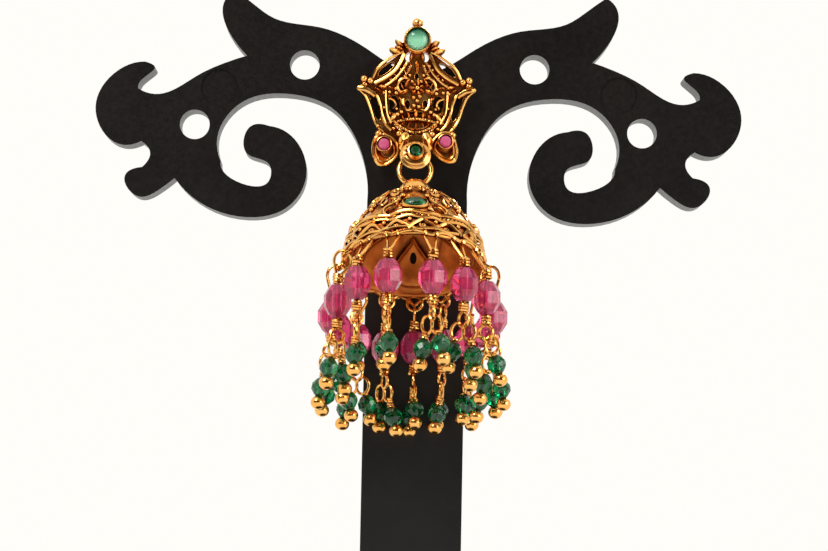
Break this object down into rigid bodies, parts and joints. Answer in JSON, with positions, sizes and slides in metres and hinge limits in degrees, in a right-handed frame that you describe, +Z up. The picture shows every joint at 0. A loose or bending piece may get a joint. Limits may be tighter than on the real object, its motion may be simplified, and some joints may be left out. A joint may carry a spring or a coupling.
{
  "type": "jhumka earring on display stand",
  "caption": "Bell-shaped drop earring with a floral stud and a fringe of glass beads, pinned through a scrolled display stand.",
  "frame": {"origin": "middle of the underside of the stand's round base", "axes": "+Z up, the earring and the stand's front face -Y, +X to the viewer's right"},
  "size_m": [0.087, 0.068, 0.1103],
  "materials": {
    "black_plastic": "glossy black moulded plastic",
    "gold": "polished warm yellow gold plating",
    "gold_beadwork": "gold wire with emerald glass beads and gold balls",
    "pink_glass": "faceted ruby-pink glass",
    "emerald_glass": "polished emerald glass",
    "mint_glass": "polished pale mint glass"
  },
  "bodies": {
    "stand": {"stand_tree": "black_plastic", "stand_base": "black_plastic", "stud_plaque": "gold", "ear_post": "gold", "ear_nut": "gold", "top_stone": "mint_glass", "centre_stone": "emerald_glass", "petal_stone_left": "pink_glass", "petal_stone_right": "pink_glass"},
    "link": {"jump_ring": "gold"},
    "drop": {"bell_dome": "gold", "bell_stone_front": "emerald_glass", "bell_stone_right": "pink_glass", "bell_stone_left": "pink_glass", "pink_bead_01": "pink_glass", "pink_bead_02": "pink_glass", "pink_bead_03": "pink_glass", "pink_bead_04": "pink_glass", "pink_bead_05": "pink_glass", "pink_bead_06": "pink_glass", "pink_bead_07": "pink_glass", "pink_bead_08": "pink_glass", "pink_bead_09": "pink_glass", "pink_bead_10": "pink_glass", "pink_bead_11": "pink_glass", "pink_bead_12": "pink_glass", "pink_bead_13": "pink_glass", "pink_bead_14": "pink_glass", "pink_bead_15": "pink_glass", "strand_01": "gold_beadwork", "strand_02": "gold_beadwork", "strand_03": "gold_beadwork", "strand_04": "gold_beadwork", "strand_05": "gold_beadwork", "strand_06": "gold_beadwork", "strand_07": "gold_beadwork", "strand_08": "gold_beadwork", "strand_09": "gold_beadwork", "strand_10": "gold_beadwork", "strand_11": "gold_beadwork", "strand_12": "gold_beadwork", "strand_13": "gold_beadwork", "strand_14": "gold_beadwork", "strand_15": "gold_beadwork"}
  },
  "joints": [
    {"name": "ring_sway", "type": "hinge", "parent": "stand", "child": "link", "pos_m": [-0.0004, -0.0063, 0.0876], "axis": [0, 1, 0], "range_deg": [-20, 20]},
    {"name": "bell_swing", "type": "hinge", "parent": "link", "child": "drop", "pos_m": [-0.0004, -0.0076, 0.08361], "axis": [-1, 0, 0], "range_deg": [0, 30]}
  ]
}
